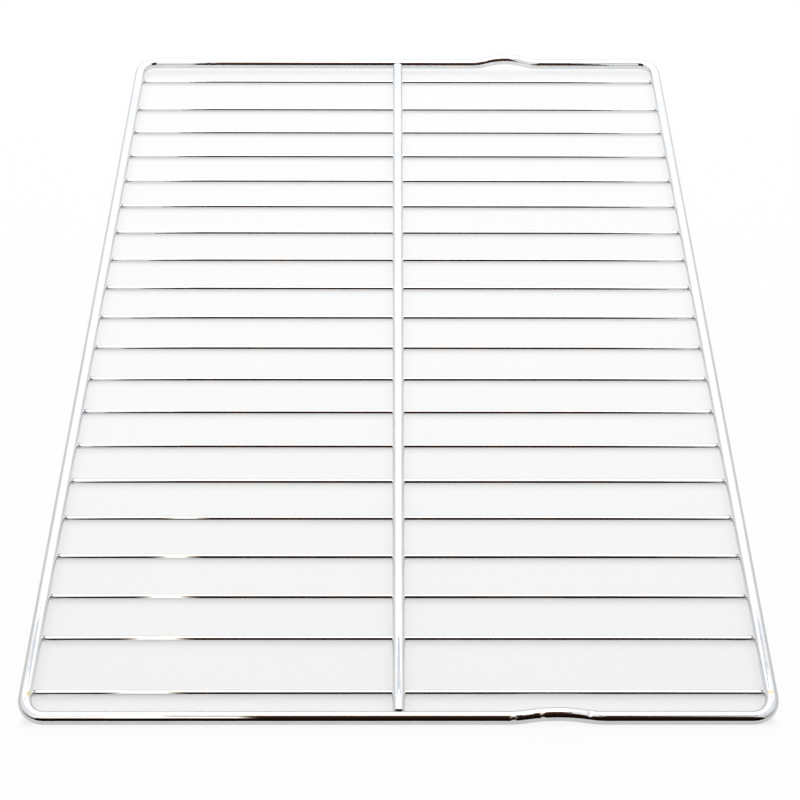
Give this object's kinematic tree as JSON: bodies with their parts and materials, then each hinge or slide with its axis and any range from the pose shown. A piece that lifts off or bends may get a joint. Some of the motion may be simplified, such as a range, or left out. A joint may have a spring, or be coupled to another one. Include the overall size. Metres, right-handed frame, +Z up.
{
  "type": "oven shelf rack",
  "caption": "Chrome-plated oven shelf rack: a closed wire frame with a hump in two opposite rails, a centre bar and thin welded rungs that carry pans.",
  "frame": {"origin": "under the middle of the rack, at the level that its rungs lie on", "axes": "+X along the rungs towards the humps, +Y from the near rail to the far rail along the centre bar, +Z up, from the rungs to the frame"},
  "size_m": [0.34, 0.475, 0.0119],
  "materials": {
    "frame_chrome": "bright chrome plate on drawn steel wire",
    "rung_chrome": "bright chrome plate on thin drawn steel wire"
  },
  "bodies": {
    "root": {"perimeter_frame": "frame_chrome", "centre_bar": "frame_chrome", "rung_01": "rung_chrome", "rung_02": "rung_chrome", "rung_03": "rung_chrome", "rung_04": "rung_chrome", "rung_05": "rung_chrome", "rung_06": "rung_chrome", "rung_07": "rung_chrome", "rung_08": "rung_chrome", "rung_09": "rung_chrome", "rung_10": "rung_chrome", "rung_11": "rung_chrome", "rung_12": "rung_chrome", "rung_13": "rung_chrome", "rung_14": "rung_chrome", "rung_15": "rung_chrome", "rung_16": "rung_chrome", "rung_17": "rung_chrome", "rung_18": "rung_chrome", "rung_19": "rung_chrome", "rung_20": "rung_chrome"}
  },
  "joints": []
}
